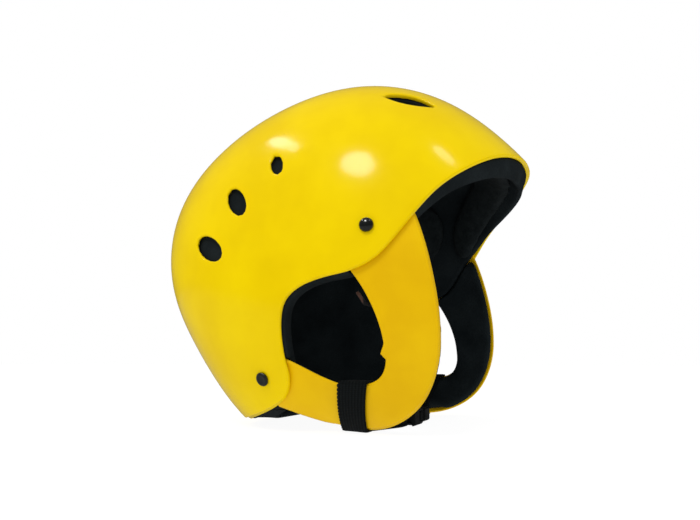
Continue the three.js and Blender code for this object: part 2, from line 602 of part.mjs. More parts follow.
const armSolid = slab(armShape(), 2 * ARM.halfHeight, -ARM.halfHeight);
const arms = [['rear', armSolid], ['front', armSolid.mirror([0, 1, 0])]];
const atBuckle = (mesh) => {
  mesh.position.set(BUCKLE.x, BUCKLE.y, BUCKLE_Z);
  return mesh;
};
add('buckle_socket', geometryOf(socket), BLACK_PLASTIC, atBuckle);
add('buckle_plug', geometryOf(plug), BLACK_PLASTIC, atBuckle);
for (const [end, solid] of arms) {
  add(`buckle_arm_${end}`, geometryOf(solid), BLACK_PLASTIC, atBuckle);
}

// ---------- size label sewn to the edge of the right guard's foam ----------
const LABEL_LINE = [[-29, -0.9], [-24.2, 0.4], [-19.5, 6.9], [-18, 5.9], [-22.8, -1.2], [-29.4, -2.6]];
const LABEL_FACE = -93.6;
const LABEL_THICKNESS = 0.8;
const labelShape = new THREE.Shape(LABEL_LINE.map(([y, z]) => new THREE.Vector2(y, z)));
add('size_label', geometryOf(sidePrism(labelShape, LABEL_FACE, LABEL_FACE + LABEL_THICKNESS)),
  LABEL_BROWN);

const helmet = new THREE.Group();
helmet.position.set(0, EAR_BEHIND_CENTRE, EAR_HEIGHT);
helmet.add(...solids);

const group = new THREE.Group();
group.add(helmet);
export default group;
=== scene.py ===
# Water helmet: the looks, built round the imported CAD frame. Blender 4.5, metres.
import math

import bmesh
import bpy
import numpy as np
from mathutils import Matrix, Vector


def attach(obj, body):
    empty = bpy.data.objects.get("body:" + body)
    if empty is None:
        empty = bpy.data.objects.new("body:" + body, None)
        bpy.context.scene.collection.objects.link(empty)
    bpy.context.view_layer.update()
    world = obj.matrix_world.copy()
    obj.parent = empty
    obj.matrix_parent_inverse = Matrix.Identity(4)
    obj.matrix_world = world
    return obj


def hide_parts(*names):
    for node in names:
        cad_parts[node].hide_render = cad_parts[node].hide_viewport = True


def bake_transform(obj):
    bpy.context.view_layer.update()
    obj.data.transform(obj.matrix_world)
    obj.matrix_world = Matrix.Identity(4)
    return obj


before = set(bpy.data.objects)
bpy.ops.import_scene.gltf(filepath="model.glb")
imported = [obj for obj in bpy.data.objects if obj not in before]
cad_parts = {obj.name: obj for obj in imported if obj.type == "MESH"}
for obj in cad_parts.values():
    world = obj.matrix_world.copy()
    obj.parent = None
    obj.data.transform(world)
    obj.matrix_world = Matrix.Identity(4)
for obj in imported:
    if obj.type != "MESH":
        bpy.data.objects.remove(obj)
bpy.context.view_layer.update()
scene = bpy.context.scene

# ---------- driving dimensions, as in the CAD source ----------
MM = 0.001
ON_EDGE = 1e-6  # a distance from the edge that counts as none, in mm
WELD = 0.01 * MM  # mesh points closer than this are one point
EAR = np.array([0.0, -19.9, 73.5])  # middle of the ear axis, in mm
HALF_WIDTH = 106.0
FULLNESS = 2.33
RADIUS_STEP = 20.0
SIDE_RADII = np.array([83.5, 106.5, 131, 141, 143.5, 141, 142, 143.5, 153.5, 159, 158, 161, 164,
                       150, 124, 113, 109, 101.5])

FIT_GAP = 0.3
SHELL_INNER = 3.0
GUARD_OUTER = SHELL_INNER + FIT_GAP
GUARD_INNER = GUARD_OUTER + 3.0
LINER_OUTER = SHELL_INNER + FIT_GAP
LINER_INNER = LINER_OUTER + 11.6
FOAM_OUTER = GUARD_INNER + FIT_GAP
FOAM_INNER = FOAM_OUTER + 9.0
PAD_OUTER = LINER_INNER + FIT_GAP
PAD_INNER = PAD_OUTER + 5.5
BAR_INNER = 66.0
RIM_LIP = 1.3  # liner past the shell's edge
FOAM_SEAM = 0.6
EAR_SIDE = (18, 32)  # the guard line's points along the ear hole
FOAM_STEP = 1.8
EAR_FOAM_STEP = 0.3

BROW_EDGE = [(-150, 107), (-110, 97), (-96, 90.5), (-82, 80), (-66, 66.5), (-55.5, 53), (-46, 39.5),
             (-34, 24.5), (-20, 17.3)]
EAR_EDGE = [(0, 14), (14, 9), (22.5, 1), (24.5, -12), (23, -30), (20, -41.5), (24.5, -52),
            (35, -58.8)]
SHELL_NAPE = [(52, -64.8), (74, -70), (88, -71.2), (170, -74)]
LINER_NAPE = [(52, -67.5), (66, -73.5), (80, -73.5), (170, -73.5)]
# the liner's soft lower edge
LINER_TUCK = [(52, -66), (66, -70.3), (80, -71), (100, -71.2), (170, -73.5)]
LIP_BROW = [(-150, 105.7), (-110, 95.7), (-96.6, 89.3), (-82.8, 79), (-65.6, 66.9), (-52.3, 55.4),
            (-42.8, 41.9), (-33.4, 25.3), (-20.3, 16)]
LINER_BROW = [(-150, 97), (-108, 84.5), (-96, 80.5), (-84, 74.5), (-68, 65), (-57, 54), (-44.5, 41),
              (-33.8, 23.6), (-20.6, 15)]
GUARD_LINE = [(-45, 62), (-52.5, 50), (-58, 34), (-62, 18), (-65, 1), (-66, -14), (-65.5, -28),
              (-61.5, -43), (-54, -56), (-42, -65.5), (-27, -70.9), (-10, -71.5), (4, -70),
              (18, -65), (32, -59.5), (46, -56.5), (53, -48), (50, -36), (38, -29), (25, -30.5),
              (13, -36), (2, -42), (-8, -45.8), (-18, -46.3), (-28, -45), (-34, -41), (-37, -34),
              (-36.5, -25), (-34.5, -14), (-30, -2), (-23.5, 10), (-15, 21), (-9, 34), (-12, 50),
              (-24, 62), (-36, 66)]
# side-view centre, length, width and long axis of each vent
SIDE_VENTS = [((34.3, 86.6), 16, 8.4, (-0.41, -0.91)), ((60.5, 65), 24, 12, (-0.62, -0.78)),
              ((79, 36.6), 27, 13.6, (-0.88, -0.47))]
CROWN_VENT = ((-41, 130.2), 36.5, 14.5, (-1, -0.02))
VENT_STEP = 1.2
FRONT_SCREW = (-27.5, 42.7)
REAR_SCREW = (39, -42.7)

SIDES = (("right", -1), ("left", 1))


# ---------- the form that every layer follows ----------
def unit(vectors):
    return vectors / np.linalg.norm(vectors, axis=-1, keepdims=True)


def side_radius(turn):
    """Radius of the side profile about the ear axis.

    turn is in radians, 0 at the face and a quarter turn at the crown."""
    place = np.mod(np.degrees(turn) + 90, 360) / RADIUS_STEP
    first = np.floor(place).astype(int)
    t = place - first
    weights = ((1 - t) ** 3 / 6, (3 * t ** 3 - 6 * t ** 2 + 4) / 6,
               (-3 * t ** 3 + 3 * t ** 2 + 3 * t + 1) / 6, t ** 3 / 6)
    return sum(w * SIDE_RADII[(first + k - 1) % len(SIDE_RADII)] for k, w in enumerate(weights))


def form(turn, spread, inset=0.0):
    """Points of the form moved inwards by inset, and the outward normals, in mm."""
    turn, spread = np.asarray(turn, float), np.asarray(spread, float)
    radius = side_radius(turn)
    nearby = 1e-3
    slope = (side_radius(turn + nearby) - side_radius(turn - nearby)) / (2 * nearby)
    power = 2 / FULLNESS
    x = HALF_WIDTH * np.sign(spread) * np.abs(np.sin(spread)) ** power
    r = radius * np.clip(np.cos(spread), 0, None) ** power
    out_y, out_z = -np.cos(turn), np.sin(turn)
    round_y, round_z = np.sin(turn), np.cos(turn)
    pull = (r / radius) ** (FULLNESS - 1) / radius
    lean = -slope / radius
    normal = np.stack([np.sign(x) * (np.abs(x) / HALF_WIDTH) ** (FULLNESS - 1) / HALF_WIDTH,
                       pull * (out_y + lean * round_y), pull * (out_z + lean * round_z)], -1)
    normal = unit(normal)
    point = np.stack([x, out_y * r, out_z * r], -1)
    return point - normal * np.asarray(inset)[..., None], normal


def place_on_form(at, side):
    """Turn and spread of the form's point over the side-view point at."""
    turn = math.atan2(at[1], -at[0])
    share = math.hypot(*at) / float(side_radius(turn))
    return turn, side * math.acos(share ** (FULLNESS / 2))


# ---------- outlines ----------
def soft_line(points, closed=False, steps=8):
    """Samples the smooth line guided by control points: it touches each leg at the middle."""
    points = [np.array(p, float) for p in points]
    if closed:
        middle = (points[0] + points[1]) / 2
        points = [middle, *points[1:], points[0], middle]
    line, start = [points[0]], points[0]
    for i in range(1, len(points) - 1):
        last = i == len(points) - 2
        end = points[i + 1] if last else (points[i] + points[i + 1]) / 2
        for k in range(1, steps + 1):
            t = k / steps
            line.append((1 - t) ** 2 * start + 2 * t * (1 - t) * points[i] + t * t * end)
        start = end
    return np.array(line)


def shifted(points, distance, closed=False):
    """Moves each point to the right of its direction of travel."""
    count = len(points)
    moved = []
    for i, (u, v) in enumerate(points):
        before = points[(i - 1) % count if closed else max(i - 1, 0)]
        after = points[(i + 1) % count if closed else min(i + 1, count - 1)]
        du, dv = after[0] - before[0], after[1] - before[1]
        size = math.hypot(du, dv)
        moved.append((u + dv / size * distance, v - du / size * distance))
    return moved


BEYOND_FACE, BEYOND_BACK, ABOVE_TOP = -150, 190, 200


def covered_region(edge):
    """Closes an edge line round the back and over the crown, well outside the form."""
    return np.vstack([soft_line(edge), [[BEYOND_BACK, ABOVE_TOP], [BEYOND_FACE, ABOVE_TOP]]])


def signed_distance(points, loop, batch=1500):
    """Distance from 2-D points to a closed loop, positive inside it."""
    start, end = loop, np.roll(loop, -1, 0)
    keep = np.linalg.norm(end - start, axis=1) > 1e-9
    (ax, ay), (bx, by) = start[keep].T, end[keep].T
    dx, dy = bx - ax, by - ay
    length = dx * dx + dy * dy
    slope = dx / np.where(dy == 0, 1, dy)
    result = np.empty(len(points))
    for first in range(0, len(points), batch):
        x, y = points[first:first + batch].T[:, :, None]
        rx, ry = x - ax, y - ay
        t = np.clip((rx * dx + ry * dy) / length, 0, 1)
        gap = np.sqrt(((rx - t * dx) ** 2 + (ry - t * dy) ** 2).min(1))
        crossed = ((ay > y) != (by > y)) & (rx < ry * slope)
        result[first:first + batch] = np.where(crossed.sum(1) % 2 == 1, gap, -gap)
    return result


HOLE_DEPTH, HOLE_REACH = 30, 60  # how far in and around a hole's centre it acts


class Region:
    """What is left of the form after its trims.

    value() is the distance to the nearest edge, positive inside."""

    def __init__(self, base_inset, outline, keep_outside_x=None, within_x=None, corner=0.0,
                 view=(1, 2)):
        self.base, self.outline, self.view = base_inset, outline, list(view)
        self.keep_outside_x, self.within_x, self.corner = keep_outside_x, within_x, corner
        self.tab = self.below = self.inner_outline = None
        self.holes = []

    def cut_hole(self, at, side, shape, lean, flare=0.0):
        """A hole along the normal at a side-view point; flare widens it with depth."""
        point, normal = form(*place_on_form(at, side))
        rough = np.array([0, *lean])
        along = unit(rough - normal * (rough @ normal))
        self.holes.append((point, normal, along, np.cross(normal, along), shape, flare))

    def flat_value(self, flat, outline):
        """Signed distance in the view the outlines are drawn in."""
        d = signed_distance(flat, outline)
        if self.tab is not None:
            d = np.maximum(d, signed_distance(flat, self.tab))
        if self.below is not None:
            d = np.minimum(d, -signed_distance(flat, self.below))
        return d

    def value(self, turn, spread, inset=None):
        """inset is the depth of the face being trimmed, the region's own base if None."""
        outline = self.outline
        if inset is None:
            inset = self.base
        elif self.inner_outline is not None:
            outline = self.inner_outline
        point, normal = form(turn, spread, inset)
        step = 0.5
        flat = point[:, self.view]
        d = self.flat_value(flat, outline)
        gradient = np.zeros_like(point)
        for axis, shift in zip(self.view, ([step, 0], [0, step])):
            gradient[:, axis] = (self.flat_value(flat + shift, outline) - d) / step
        gradient -= normal * np.sum(gradient * normal, -1, keepdims=True)
        result = d / np.clip(np.linalg.norm(gradient, axis=-1), 0.35, 1.0)
        if self.keep_outside_x is not None:
            tilt = np.sqrt(np.clip(1 - normal[:, 0] ** 2, 0.1, 1))
            result = np.minimum(result, (np.abs(point[:, 0]) - self.keep_outside_x) / tilt)
        if self.within_x is not None:
            low, high = self.within_x
            side = np.minimum(point[:, 0] - low, high - point[:, 0])
            turned = self.corner - np.hypot(self.corner - result, self.corner - side)
            both = (result < self.corner) & (side < self.corner)
            result = np.where(both, turned, np.minimum(result, side))
        for centre, out, along, across, shape, flare in self.holes:
            rel = point - centre
            near = (rel @ out > -HOLE_DEPTH) & (np.linalg.norm(rel, axis=1) < HOLE_REACH)
            plan = np.stack([rel[near] @ along, rel[near] @ across], -1)
            clear = -signed_distance(plan, shape) - flare * (inset - self.base)
            result[near] = np.minimum(result[near], clear)
        return result

    def approach(self, turn, spread, target, rounds, inset=None):
        """Moves points along the form towards where the value is target."""
        nudge = 1e-4
        for _ in range(rounds):
            here = self.value(turn, spread, inset)
            by_turn = (self.value(turn + nudge, spread, inset) - here) / nudge
            by_spread = (self.value(turn, spread + nudge, inset) - here) / nudge
            place = form(turn, spread)[0]
            size_turn = np.sum((form(turn + nudge, spread)[0] - place) ** 2, -1) / nudge ** 2
            size_spread = np.sum((form(turn, spread + nudge)[0] - place) ** 2, -1) / nudge ** 2
            a, b = by_turn / size_turn, by_spread / size_spread
            scale = (target - here) / np.clip(by_turn * a + by_spread * b, 0.1, None)
            turn, spread = turn + a * scale, spread + b * scale
        return turn, spread

    def slide(self, params, value, inset, reach=16.0, longest=15.0):
        """Parameters for the face at another inset, whose edge lies elsewhere on the form."""
        params = params.copy()
        near = value < reach
        turn, spread = params[near].T
        new_turn, new_spread = self.approach(turn, spread, value[near], 3, inset)
        moved = np.linalg.norm(form(new_turn, new_spread)[0] - form(turn, spread)[0], axis=1)
        fade = np.clip((reach - value[near]) / (reach - 3), 0, 1)
        share = fade ** 2 * (3 - 2 * fade) * np.clip(longest / np.clip(moved, 1e-9, None), 0, 1)
        params[near, 0] = turn + (new_turn - turn) * share
        params[near, 1] = spread + (new_spread - spread) * share
        return params


def oval(length, width, steps=48):
    angle = np.linspace(0, 2 * math.pi, steps, endpoint=False)
    return np.stack([length / 2 * np.cos(angle), width / 2 * np.sin(angle)], -1)


def lens(length, width, steps=24):
    t = np.linspace(0, 1, steps, endpoint=False)
    x = length / 2 * (2 * t - 1)
    y = 2 * t * (1 - t) * width
    return np.vstack([np.stack([x, -y], -1), np.stack([-x, y], -1)])


# ---------- trimmed skins with rounded rims ----------
def edges_of(face):
    return zip(face, face[1:] + face[:1])


def split_along(region, params, value, faces, level, snap):
    """Adds an edge line to the faces where the region's value equals level."""
    close = np.abs(value - level) < snap
    if close.any():
        moved = region.approach(params[close, 0], params[close, 1], level, 1 if level else 2)
        params[close] = np.stack(moved, -1)
        value[close] = level
    sign = np.sign(np.where(close, 0, value - level)).astype(int)
    crossing, ends = {}, []
    cut_faces = []
    for index, face in enumerate(faces):
        signs = sign[face]
        if signs.max() > 0 and signs.min() < 0:
            cut_faces.append(index)
            for a, b in edges_of(face):
                if sign[a] * sign[b] < 0 and (a, b) not in crossing:
                    crossing[a, b] = crossing[b, a] = len(params) + len(ends)
                    ends.append((a, b))
    if ends:
        ends = np.array(ends)
        low, high = params[ends[:, 0]], params[ends[:, 1]]
        va, vb = value[ends[:, 0]] - level, value[ends[:, 1]] - level
        t = va / (va - vb)
        left, right, at_left, at_right = np.zeros(len(t)), np.ones(len(t)), va, vb
        for _ in range(3):
            spot = low + (high - low) * t[:, None]
            v = region.value(spot[:, 0], spot[:, 1]) - level
            before = (v * at_left) > 0
            left, right = np.where(before, t, left), np.where(before, right, t)
            at_left, at_right = np.where(before, v, at_left), np.where(before, at_right, v)
            t = left + (right - left) * np.clip(at_left / (at_left - at_right), 0.02, 0.98)
        params = np.vstack([params, low + (high - low) * t[:, None]])
        value = np.concatenate([value, np.full(len(t), float(level))])
        sign = np.concatenate([sign, np.zeros(len(t), int)])
    kept = list(faces)
    extra = []
    for index in cut_faces:
        ring = []
        face = faces[index]
        for a, b in edges_of(face):
            ring.append(a)
            if (a, b) in crossing:
                ring.append(crossing[a, b])
        changes = [k for k, v in enumerate(ring) if sign[v] == 0
                   and sign[ring[k - 1]] * sign[ring[(k + 1) % len(ring)]] < 0]
        if len(changes) < 2:
            continue
        first, second = changes[:2]
        kept[index] = ring[first:second + 1]
        extra.append(ring[second:] + ring[:first + 1])
    return params, value, kept + extra


def grid(turn_step, spread_step, turn_span=(-180, 180), spread_span=(-90, 90)):
    """Parameter grid in degrees, as points and quads; a full turn closes on itself."""
    full = turn_span[1] - turn_span[0] >= 360
    columns = round((turn_span[1] - turn_span[0]) / turn_step)
    rows = round((spread_span[1] - spread_span[0]) / spread_step)
    turns = np.radians(np.linspace(*turn_span, columns + 1))
    turns = turns[:-1] if full else turns
    margin = 0.25 if spread_span[0] <= -90 or spread_span[1] >= 90 else 0
    spreads = np.radians(np.linspace(spread_span[0] + margin, spread_span[1] - margin, rows + 1))
    params = np.array([(t, s) for t in turns for s in spreads])
    wide, tall = len(turns), len(spreads)
    faces = []
    for i in range(wide if full else wide - 1):
        near, far = i * tall, (i + 1) % wide * tall
        faces += [[near + j, far + j, far + j + 1, near + j + 1] for j in range(tall - 1)]
    return params, faces


def unwrap(params, faces):
    """Keeps faces that cross the seam of a full turn from folding back when they are split."""
    params, faces = params.copy(), [list(f) for f in faces]
    turn = params[:, 0]
    seam = [f for f in faces if np.ptp(turn[f]) > math.pi]
    copies = {}
    fresh = []
    for face in seam:
        for k, v in enumerate(face):
            if turn[v] < 0:
                if v not in copies:
                    copies[v] = len(params) + len(fresh)
                    fresh.append(params[v] + [2 * math.pi, 0])
                face[k] = copies[v]
    return (np.vstack([params, fresh]) if fresh else params), faces


def rounding(value, radius):
    """How far a rounded rim falls away from the face, at a distance value from the edge."""
    near = np.clip(radius - value, 0, radius)
    return radius - np.sqrt(np.clip(radius ** 2 - near ** 2, 0, None))


def skin(name, region, outer, inner, rims, cells, relief=None, swell=None, lines=()):
    """A closed skin between two insets of the form, trimmed to the region, with rounded rims.

    rims are the radii at the outer and the inner edge. relief raises the outside and swell the
    inside, as functions of the parameters and the distance from the edge. lines are extra edge
    lines to follow."""
    params, faces = unwrap(*cells)
    for other, level in lines:
        value = other.value(params[:, 0], params[:, 1])
        params, value, faces = split_along(other, params, value, faces, level, 0.15)
    value = region.value(params[:, 0], params[:, 1])
    faces = [f for f in faces if value[f].max() > -0.5]
    bends = [rims[0] * (1 - math.cos(math.radians(a))) for a in (30, 60, 90)]
    bends += [rims[1] * (1 - math.cos(math.radians(a))) for a in (22, 45, 67, 90)]
    levels = [0]
    for bend in sorted(bends):
        if bend > levels[-1] + 0.04:
            levels.append(bend)
    for level in levels:
        room = min(abs(level - other) for other in levels if other != level)
        snap = min(0.4, 0.3 * room)
        params, value, faces = split_along(region, params, value, faces, level, snap)
        if level == 0:
            faces = [f for f in faces if value[f].min() > -ON_EDGE]
    used = np.unique(np.concatenate([np.array(f) for f in faces]))
    renumber = np.full(len(params), -1)
    renumber[used] = np.arange(len(used))
    params, value = params[used], np.clip(value[used], 0, None)
    faces = [[int(renumber[v]) for v in f] for f in faces]
    soft = value
    if region.below is not None:
        joint, region.below = region.below, None
        soft = np.clip(region.value(params[:, 0], params[:, 1]), 0, None)
        region.below = joint
    lift = relief(params, value) if relief else 0.0
    full = swell(params, value) if swell else 0.0
    over = params if outer == region.base else region.slide(params, value, outer)
    under = region.slide(params, value, inner)
    top, _ = form(over[:, 0], over[:, 1], outer + rounding(soft, rims[0]) - lift)
    bottom, _ = form(under[:, 0], under[:, 1], inner - rounding(soft, rims[1]) + full)
    count = len(params)
    edges = {edge for face in faces for edge in edges_of(face)}
    walls = [[b, a, a + count, b + count] for a, b in sorted(edges)
             if (b, a) not in edges and max(value[a], value[b]) < ON_EDGE]
    mesh_faces = faces + [[v + count for v in reversed(f)] for f in faces] + walls
    return new_mesh(name, np.vstack([top, bottom]) + EAR, mesh_faces)


def shade_smooth(mesh):
    mesh.polygons.foreach_set("use_smooth", [True] * len(mesh.polygons))


def add_object(name, data):
    made = bpy.data.objects.new(name, data)
    scene.collection.objects.link(made)
    return made


def open_mesh(mesh, weld=True):
    work = bmesh.new()
    work.from_mesh(mesh)
    if weld:
        bmesh.ops.remove_doubles(work, verts=work.verts, dist=WELD)
    return work


def close_mesh(name, mesh, work):
    """Turns the faces outwards, shades them smooth and makes the object."""
    bmesh.ops.recalc_face_normals(work, faces=work.faces)
    work.to_mesh(mesh)
    work.free()
    shade_smooth(mesh)
    return add_object(name, mesh)


def raw_mesh(name, points_mm, faces):
    mesh = bpy.data.meshes.new(name)
    mesh.from_pydata([tuple(p) for p in np.asarray(points_mm) * MM], [], [tuple(f) for f in faces])
    return mesh


def new_mesh(name, points_mm, faces):
    """Makes a welded object from points in mm."""
    mesh = raw_mesh(name, points_mm, faces)
    return close_mesh(name, mesh, open_mesh(mesh))


def tube_faces(rings, ring, closed=False):
    """Quads between rings of points, with end caps unless the tube closes on itself."""
    faces = []
    for i in range(rings if closed else rings - 1):
        near, far = i * ring, (i + 1) % rings * ring
        faces += [[near + k, near + (k + 1) % ring, far + (k + 1) % ring, far + k]
                  for k in range(ring)]
    if not closed:
        faces += [list(range(ring))[::-1], [far + k for k in range(ring)]]
    return faces


def apply_modifier(piece, kind, **settings):
    bpy.context.view_layer.objects.active = piece
    modifier = piece.modifiers.new(kind.lower(), kind)
    for key, value in settings.items():
        setattr(modifier, key, value)
    bpy.ops.object.modifier_apply(modifier=modifier.name)


def paint(piece, look):
    piece.data.materials.clear()
    piece.data.materials.append(look.material)


def finish_piece(piece, look, node, body="helmet"):
    paint(piece, look)
    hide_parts(node)
    if body:
        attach(piece, body)
    return piece


# ---------- procedural materials ----------
class Nodes:
    """Short ways to add and join nodes in one tree."""

    def __init__(self, tree):
        self.tree = tree
        self.coordinates = self.node("ShaderNodeTexCoord")

    def node(self, kind, values=None, **settings):
        made = self.tree.nodes.new(kind)
        for key, value in settings.items():
            setattr(made, key, value)
        for key, value in (values or {}).items():
            made.inputs[key].default_value = value
        return made

    def link(self, a, b):
        self.tree.links.new(a, b)

    def spread(self, value, low, high, start=0.0, end=1.0, **settings):
        span = self.node("ShaderNodeMapRange", {"From Min": start, "From Max": end, "To Min": low,
                                                "To Max": high}, **settings)
        self.link(value, span.inputs["Value"])
        return span.outputs["Result"]

    def maths(self, operation, a, b):
        node = self.node("ShaderNodeMath", operation=operation)
        self.link(a, node.inputs[0])
        self.link(b, node.inputs[1])
        return node.outputs["Value"]


class Shade(Nodes):
    """A node material on one Principled shader, built from named steps."""

    def __init__(self, name, roughness, specular=0.5, coat=0.0, coat_roughness=0.05,
                 sheen=0.0, sheen_roughness=0.5):
        self.material = bpy.data.materials.new(name)
        self.material.use_nodes = True
        super().__init__(self.material.node_tree)
        self.shader = self.tree.nodes["Principled BSDF"]
        for socket, value in (("Roughness", roughness), ("Specular IOR Level", specular),
                              ("Coat Weight", coat), ("Coat Roughness", coat_roughness),
                              ("Sheen Weight", sheen), ("Sheen Roughness", sheen_roughness)):
            self.shader.inputs[socket].default_value = value
        self.height = None

    def placed(self, space="Object", scale=(1, 1, 1)):
        mapping = self.node("ShaderNodeMapping", {"Scale": scale})
        self.link(self.coordinates.outputs[space], mapping.inputs["Vector"])
        return mapping.outputs["Vector"]

    def noise(self, scale, detail=2.0, roughness=0.5, space="Object", stretch=(1, 1, 1)):
        """Noise whose features are about scale metres across, from 0 to 1."""
        noise = self.node("ShaderNodeTexNoise", {"Scale": 1 / scale, "Detail": detail,
                                                 "Roughness": roughness})
        self.link(self.placed(space, stretch), noise.inputs["Vector"])
        return noise.outputs["Fac"]

    def cells(self, scale):
        cells = self.node("ShaderNodeTexVoronoi", {"Scale": 1 / scale}, feature="SMOOTH_F1")
        self.link(self.placed(), cells.inputs["Vector"])
        return cells.outputs["Distance"]

    def wave(self, pitch, axis, space="UV", distortion=0.0):
        """Stripes a pitch apart along one axis, from 0 to 1."""
        wave = self.node("ShaderNodeTexWave", {"Scale": 0.314159 / pitch, "Distortion": distortion,
                                               "Detail": 1.0, "Detail Scale": 2.0},
                         bands_direction=axis)
        self.link(self.placed(space), wave.inputs["Vector"])
        return wave.outputs["Fac"]

    def colours(self, value, low, high, start=0.0, end=1.0):
        """Base colour from low to high as value goes from start to end."""
        ramp = self.node("ShaderNodeValToRGB")
        first, last = ramp.color_ramp.elements
        first.position, first.color = start, (*low, 1)
        last.position, last.color = end, (*high, 1)
        self.link(value, ramp.inputs["Fac"])
        self.link(ramp.outputs["Color"], self.shader.inputs["Base Color"])

    def roughness(self, value, low, high):
        self.link(self.spread(value, low, high), self.shader.inputs["Roughness"])

    def bump(self, value, depth, coat=False):
        """Adds a bump of depth metres; bumps stack."""
        bump = self.node("ShaderNodeBump", {"Strength": 1.0, "Distance": depth})
        self.link(value, bump.inputs["Height"])
        if self.height is not None:
            self.link(self.height, bump.inputs["Normal"])
        self.height = bump.outputs["Normal"]
        self.link(self.height, self.shader.inputs["Normal"])
        if coat:
            self.link(self.height, self.shader.inputs["Coat Normal"])


def tint(red, green, blue):
    """Linear colour from 0-255 display values."""
    return tuple(((v / 255 + 0.055) / 1.055) ** 2.4 if v > 10 else v / 255 / 12.92
                 for v in (red, green, blue))


def shell_plastic():
    look = Shade("shell_plastic", 0.16, specular=0.09, coat=0.12, coat_roughness=0.06)
    cloud = look.noise(0.045, 3.0, 0.55)
    look.colours(cloud, tint(236, 201, 0), tint(244, 211, 0), 0.35, 0.65)
    look.roughness(look.noise(0.012, 4.0, 0.6), 0.12, 0.19)
    look.bump(look.noise(0.009, 2.0), 0.00005, coat=True)
    scratch = look.noise(0.004, 4.0, 0.7, stretch=(1, 0.12, 1))
    look.bump(look.spread(scratch, 0, 1, 0.62, 0.7), 0.000004)
    return look


def guard_plastic():
    look = Shade("guard_plastic", 0.42, specular=0.07, coat=0.02, coat_roughness=0.3)
    look.colours(look.noise(0.035, 3.0, 0.55), tint(229, 181, 0), tint(237, 192, 0), 0.35, 0.65)
    look.roughness(look.noise(0.008, 4.0, 0.6), 0.36, 0.48)
    look.bump(look.noise(0.0007, 2.0, 0.6), 0.000012)
    look.bump(look.noise(0.012, 2.0), 0.00003)
    return look


def closed_foam():
    look = Shade("closed_foam", 0.85, specular=0.03)
    grain = look.cells(0.0011)
    look.colours(look.maths("MULTIPLY", look.noise(0.02, 3.0), look.spread(grain, 0.75, 1.15)),
                 tint(19, 24, 26), tint(33, 39, 41), 0.25, 0.75)
    look.bump(grain, 0.00012)
    look.bump(look.noise(0.0028, 3.0, 0.6), 0.0002)
    look.roughness(look.noise(0.006, 3.0), 0.72, 0.9)
    return look


def brushed_fabric():
    look = Shade("brushed_fabric", 0.92, specular=0.03, sheen=0.01, sheen_roughness=0.55)
    look.colours(look.noise(0.006, 5.0, 0.7), tint(16, 20, 21), tint(29, 34, 35), 0.3, 0.7)
    across = look.wave(0.0011, "X", "Object")
    along = look.wave(0.0011, "Y", "Object")
    look.bump(look.maths("MULTIPLY", across, along), 0.00012)
    look.bump(look.noise(0.0006, 3.0, 0.7), 0.00012)
    look.bump(look.noise(0.009, 3.0, 0.5), 0.0004)
    return look


def strap_webbing():
    """Warp ribs along the strap with a crossing weft. UVs are metres along and across it."""
    look = Shade("strap_webbing", 0.8, specular=0.1, sheen=0.02, sheen_roughness=0.4)
    ribs = look.wave(0.0019, "Y")
    weft = look.wave(0.0013, "X", distortion=0.6)
    weave = look.maths("MULTIPLY", look.spread(ribs, 0.35, 1), look.spread(weft, 0.5, 1))
    fibres = look.noise(0.0008, 3.0, 0.7, "UV", (0.3, 1, 1))
    look.colours(look.maths("MULTIPLY", weave, look.spread(fibres, 0.6, 1.2)), tint(7, 10, 11),
                 tint(20, 26, 27), 0.2, 0.95)
    look.bump(weave, 0.00022)
    look.bump(fibres, 0.00008)
    return look


def moulded_plastic():
    look = Shade("moulded_plastic", 0.5, specular=0.07)
    look.colours(look.noise(0.01, 3.0), tint(6, 9, 9), tint(13, 17, 17), 0.35, 0.65)
    look.roughness(look.noise(0.003, 4.0, 0.65), 0.4, 0.6)
    look.bump(look.cells(0.0005), 0.00002)
    look.bump(look.noise(0.0045, 2.0), 0.00003)
    return look


def black_enamel(roughness):
    look = Shade(f"black_enamel_{round(roughness * 100)}", roughness, coat=0.5,
                 coat_roughness=roughness / 2)
    look.colours(look.noise(0.0012, 4.0, 0.7), tint(8, 11, 11), tint(20, 24, 23), 0.35, 0.7)
    look.roughness(look.noise(0.0006, 4.0, 0.7), roughness, roughness + 0.16)
    look.bump(look.noise(0.0009, 3.0, 0.6), 0.000015)
    return look


def washer_rubber():
    look = Shade("washer_rubber", 0.7, specular=0.3)
    look.colours(look.noise(0.002, 4.0), tint(10, 11, 12), tint(24, 26, 27), 0.3, 0.7)
    look.bump(look.noise(0.0005, 3.0, 0.6), 0.00003)
    return look


LABEL_SHADE_SPAN = (-0.0426, -0.0418)  # painted shade: the label's brown face fades to black between these Y, and is black below them


def woven_label():
    look = Shade("woven_label", 0.85, specular=0.2, sheen=0.2)
    across = look.wave(0.0006, "Y", "Object")
    along = look.wave(0.0006, "Z", "Object")
    weave = look.maths("MULTIPLY", across, look.spread(along, 0.5, 1))
    place = look.node("ShaderNodeSeparateXYZ")
    look.link(look.placed(), place.inputs["Vector"])
    # painted shade: the label's colour falls to black across the span of Y given above
    unshaded = look.spread(place.outputs["Y"], 0, 1, *LABEL_SHADE_SPAN)
    threads = look.maths("MULTIPLY", weave, look.spread(look.noise(0.002), 0.6, 1.3))
    look.colours(look.maths("MULTIPLY", threads, unshaded), tint(9, 9, 9), tint(120, 82, 68), 0, 0.8)
    look.bump(weave, 0.0001)
    return look


SHELL_LOOK = shell_plastic()
GUARD_LOOK = guard_plastic()
FOAM_LOOK = closed_foam()
FABRIC_LOOK = brushed_fabric()
WEBBING_LOOK = strap_webbing()
BUCKLE_LOOK = moulded_plastic()
DOME_SCREW_LOOK = black_enamel(0.12)
FLAT_SCREW_LOOK = black_enamel(0.34)
RUBBER_LOOK = washer_rubber()
LABEL_LOOK = woven_label()

